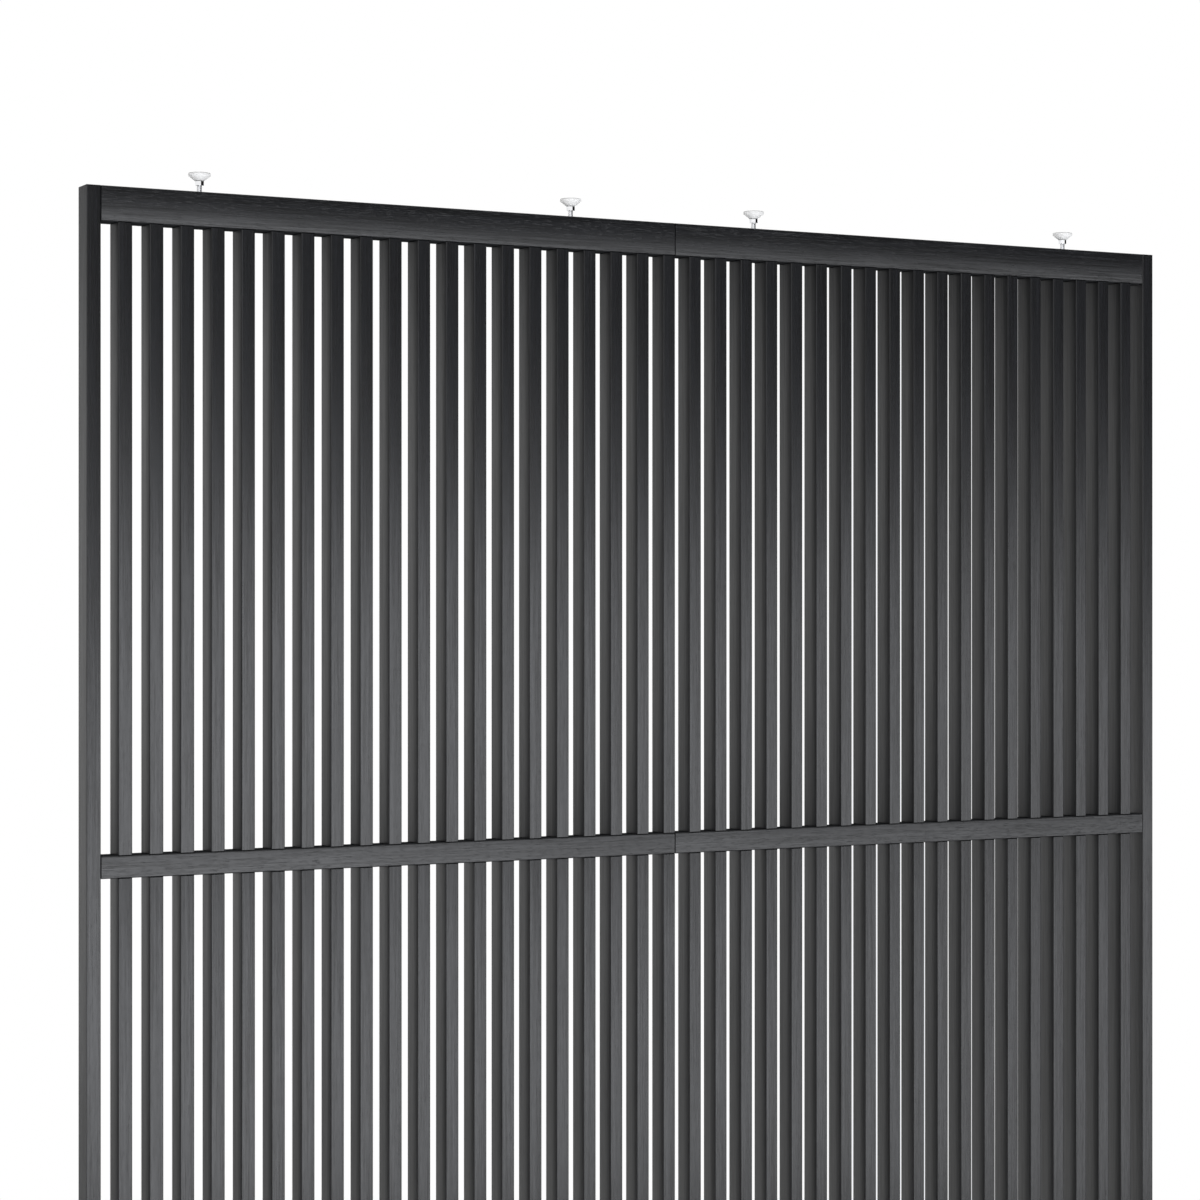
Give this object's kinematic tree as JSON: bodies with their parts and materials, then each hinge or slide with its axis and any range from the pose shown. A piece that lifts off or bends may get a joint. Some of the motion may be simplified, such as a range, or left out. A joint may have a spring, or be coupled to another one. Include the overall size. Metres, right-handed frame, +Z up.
{
  "type": "slatted room divider",
  "caption": "Slatted timber screen of upright slats between rails and posts, braced between floor and ceiling by screw jacks whose pads rise as the screws turn.",
  "frame": {"origin": "on the floor, at the middle of the screen's width and depth", "axes": "+X to the right along the screen, -Y to the front, +Z up"},
  "size_m": [2.3954, 0.048, 2.5],
  "materials": {
    "stained_timber": "black stain under a thin satin lacquer, grain showing",
    "beech": "bare",
    "zinc_plated_steel": "bright zinc",
    "white_plastic": "satin moulded"
  },
  "bodies": {
    "frame": {"left_post": "stained_timber", "right_post": "stained_timber", "bottom_rail_left": "stained_timber", "bottom_rail_right": "stained_timber", "middle_rail_left": "stained_timber", "middle_rail_right": "stained_timber", "top_rail_left": "stained_timber", "top_rail_right": "stained_timber", "slats_01": "stained_timber", "slats_02": "stained_timber", "slats_03": "stained_timber", "slats_04": "stained_timber", "slats_05": "stained_timber", "slats_06": "stained_timber", "slats_07": "stained_timber", "slats_08": "stained_timber", "slats_09": "stained_timber", "slats_10": "stained_timber", "slats_11": "stained_timber", "slats_12": "stained_timber", "slats_13": "stained_timber", "slats_14": "stained_timber", "slats_15": "stained_timber", "slats_16": "stained_timber", "slats_17": "stained_timber", "slats_18": "stained_timber", "slats_19": "stained_timber", "slats_20": "stained_timber", "slats_21": "stained_timber", "slats_22": "stained_timber", "slats_23": "stained_timber", "slats_24": "stained_timber", "slats_25": "stained_timber", "slats_26": "stained_timber", "slats_27": "stained_timber", "slats_28": "stained_timber", "slats_29": "stained_timber", "slats_30": "stained_timber", "slats_31": "stained_timber", "slats_32": "stained_timber", "slats_33": "stained_timber", "slats_34": "stained_timber", "slats_35": "stained_timber", "slats_36": "stained_timber", "slats_37": "stained_timber", "slats_38": "stained_timber", "slats_39": "stained_timber", "post_tenons": "beech", "seam_tenons": "beech", "threaded_sleeves": "zinc_plated_steel"},
    "pad_1": {"ceiling_pad_1": "white_plastic"},
    "pad_2": {"ceiling_pad_2": "white_plastic"},
    "pad_3": {"ceiling_pad_3": "white_plastic"},
    "pad_4": {"ceiling_pad_4": "white_plastic"},
    "screw_1": {"jack_screw_1": "zinc_plated_steel"},
    "screw_2": {"jack_screw_2": "zinc_plated_steel"},
    "screw_3": {"jack_screw_3": "zinc_plated_steel"},
    "screw_4": {"jack_screw_4": "zinc_plated_steel"}
  },
  "joints": [
    {"name": "pad_lift_1", "type": "slide", "parent": "frame", "child": "pad_1", "axis": [0, 0, 1], "range_m": [-0.014, 0.02]},
    {"name": "screw_turn_1", "type": "hinge", "parent": "pad_1", "child": "screw_1", "pos_m": [-0.97475, 0, 2.477], "axis": [0, 0, 1], "range_deg": [-3360, 4800]},
    {"name": "pad_lift_2", "type": "slide", "parent": "frame", "child": "pad_2", "axis": [0, 0, 1], "range_m": [-0.014, 0.02]},
    {"name": "screw_turn_2", "type": "hinge", "parent": "pad_2", "child": "screw_2", "pos_m": [-0.20775, 0, 2.477], "axis": [0, 0, 1], "range_deg": [-3360, 4800]},
    {"name": "pad_lift_3", "type": "slide", "parent": "frame", "child": "pad_3", "axis": [0, 0, 1], "range_m": [-0.014, 0.02]},
    {"name": "screw_turn_3", "type": "hinge", "parent": "pad_3", "child": "screw_3", "pos_m": [0.20775, 0, 2.477], "axis": [0, 0, 1], "range_deg": [-3360, 4800]},
    {"name": "pad_lift_4", "type": "slide", "parent": "frame", "child": "pad_4", "axis": [0, 0, 1], "range_m": [-0.014, 0.02]},
    {"name": "screw_turn_4", "type": "hinge", "parent": "pad_4", "child": "screw_4", "pos_m": [0.97475, 0, 2.477], "axis": [0, 0, 1], "range_deg": [-3360, 4800]}
  ],
  "couplings": [
    {"joint": "screw_turn_1", "follows": "pad_lift_1", "rad_per_m": 4188.8},
    {"joint": "screw_turn_2", "follows": "pad_lift_2", "rad_per_m": 4188.8},
    {"joint": "screw_turn_3", "follows": "pad_lift_3", "rad_per_m": 4188.8},
    {"joint": "screw_turn_4", "follows": "pad_lift_4", "rad_per_m": 4188.8}
  ]
}
